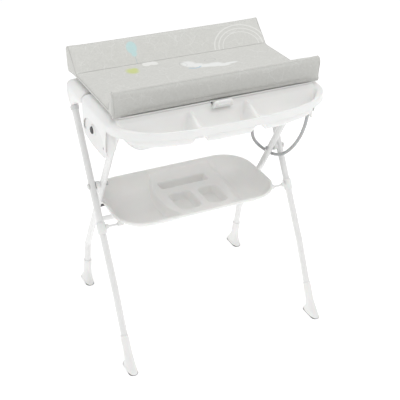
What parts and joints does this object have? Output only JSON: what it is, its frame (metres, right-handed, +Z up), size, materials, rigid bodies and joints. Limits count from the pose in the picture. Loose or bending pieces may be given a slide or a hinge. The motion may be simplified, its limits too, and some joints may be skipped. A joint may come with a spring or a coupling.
{
  "type": "changing table",
  "caption": "Folding baby changing table: padded changing top hinged over a moulded bath tub, on crossed tube legs with a storage tray and a drain hose.",
  "frame": {"origin": "on the floor, under the middle of the whole object", "axes": "+X to the right seen from the front, -Y to the front where the compartments are, +Z up"},
  "size_m": [0.778, 0.68, 1.014],
  "materials": {
    "white_tube": "gloss powder coat",
    "white_plastic": "fine satin moulded plastic",
    "tray_plastic": "satin moulded plastic",
    "panel_grey": "satin moulded plastic",
    "dark_plastic": "satin moulded plastic",
    "sole_rubber": "matt rubber",
    "steel": "plated steel",
    "pad_vinyl": "wipeable coated fabric with a soft print",
    "hose_grey": "flexible hose, satin"
  },
  "bodies": {
    "front_frame": {"left_front_leg": "white_tube", "right_front_leg": "white_tube", "left_front_foot": "white_plastic", "right_front_foot": "white_plastic", "front_foot_soles": "sole_rubber", "left_rear_bracket": "white_plastic", "right_rear_bracket": "white_plastic", "rear_cross_tube": "steel", "tube_collars": "panel_grey", "bracket_screws": "steel", "left_cross_bolt": "steel", "right_cross_bolt": "steel", "cross_spacers": "white_plastic", "cross_nuts": "steel", "left_tray_clip": "white_plastic", "right_tray_clip": "white_plastic"},
    "rear_frame": {"left_rear_leg": "white_tube", "right_rear_leg": "white_tube", "left_rear_foot": "white_plastic", "right_rear_foot": "white_plastic", "rear_foot_soles": "sole_rubber", "leg_brace_tube": "white_tube", "left_support_arm": "white_plastic", "right_support_arm": "white_plastic", "arm_rivets": "steel", "tray_rest_pegs": "dark_plastic"},
    "tub": {"tub_rim": "white_plastic", "tub_basin": "white_plastic", "front_compartments": "white_plastic", "left_side_panel": "panel_grey", "right_side_panel": "panel_grey", "panel_screws": "steel", "left_tub_hinge": "white_plastic", "right_tub_hinge": "white_plastic", "pad_hinge_posts": "white_plastic", "left_button_spring": "steel", "right_button_spring": "steel", "drain_outlet": "white_plastic", "drain_nut": "white_plastic", "drain_hose": "hose_grey", "hose_clip": "white_plastic", "hose_end_cap": "white_plastic"},
    "left_button": {"left_release_button": "dark_plastic"},
    "right_button": {"right_release_button": "dark_plastic"},
    "plug": {"drain_plug": "dark_plastic"},
    "pad": {"pad_cushion": "pad_vinyl", "pad_board": "white_plastic", "pad_hinge_ears": "white_plastic", "pad_hinge_pins": "steel", "latch_housing": "white_plastic", "latch_spring": "steel"},
    "latch": {"pad_latch": "white_plastic"},
    "tray": {"storage_tray": "tray_plastic", "tray_pins": "white_tube"}
  },
  "joints": [
    {"name": "frame_fold", "type": "hinge", "parent": "front_frame", "child": "rear_frame", "pos_m": [0, 0.028, 0.578], "axis": [-1, 0, 0], "range_deg": [0, 52]},
    {"name": "tub_lift", "type": "hinge", "parent": "front_frame", "child": "tub", "pos_m": [0, 0.19, 0.872], "axis": [-1, 0, 0], "range_deg": [0, 91], "deforming": ["drain_hose"]},
    {"name": "tray_fold", "type": "hinge", "parent": "front_frame", "child": "tray", "pos_m": [0, -0.0459, 0.45], "axis": [1, 0, 0], "range_deg": [0, 52]},
    {"name": "pad_flip", "type": "hinge", "parent": "tub", "child": "pad", "pos_m": [0, 0.232, 0.912], "axis": [-1, 0, 0], "range_deg": [0, 95]},
    {"name": "latch_slide", "type": "slide", "parent": "pad", "child": "latch", "axis": [0, -1, 0], "range_m": [0, 0.006], "stiffness_N_per_m": 150, "deforming": ["latch_spring"]},
    {"name": "left_button_press", "type": "slide", "parent": "tub", "child": "left_button", "axis": [1, 0, 0], "range_m": [0, 0.004], "stiffness_N_per_m": 250, "deforming": ["left_button_spring"]},
    {"name": "right_button_press", "type": "slide", "parent": "tub", "child": "right_button", "axis": [-1, 0, 0], "range_m": [0, 0.004], "stiffness_N_per_m": 250, "deforming": ["right_button_spring"]},
    {"name": "plug_lift", "type": "slide", "parent": "tub", "child": "plug", "axis": [0, 0, 1], "range_m": [0, 0.03]}
  ],
  "couplings": [
    {"joint": "tub_lift", "follows": "frame_fold", "ratio": 1.75},
    {"joint": "tray_fold", "follows": "frame_fold", "ratio": 1}
  ]
}
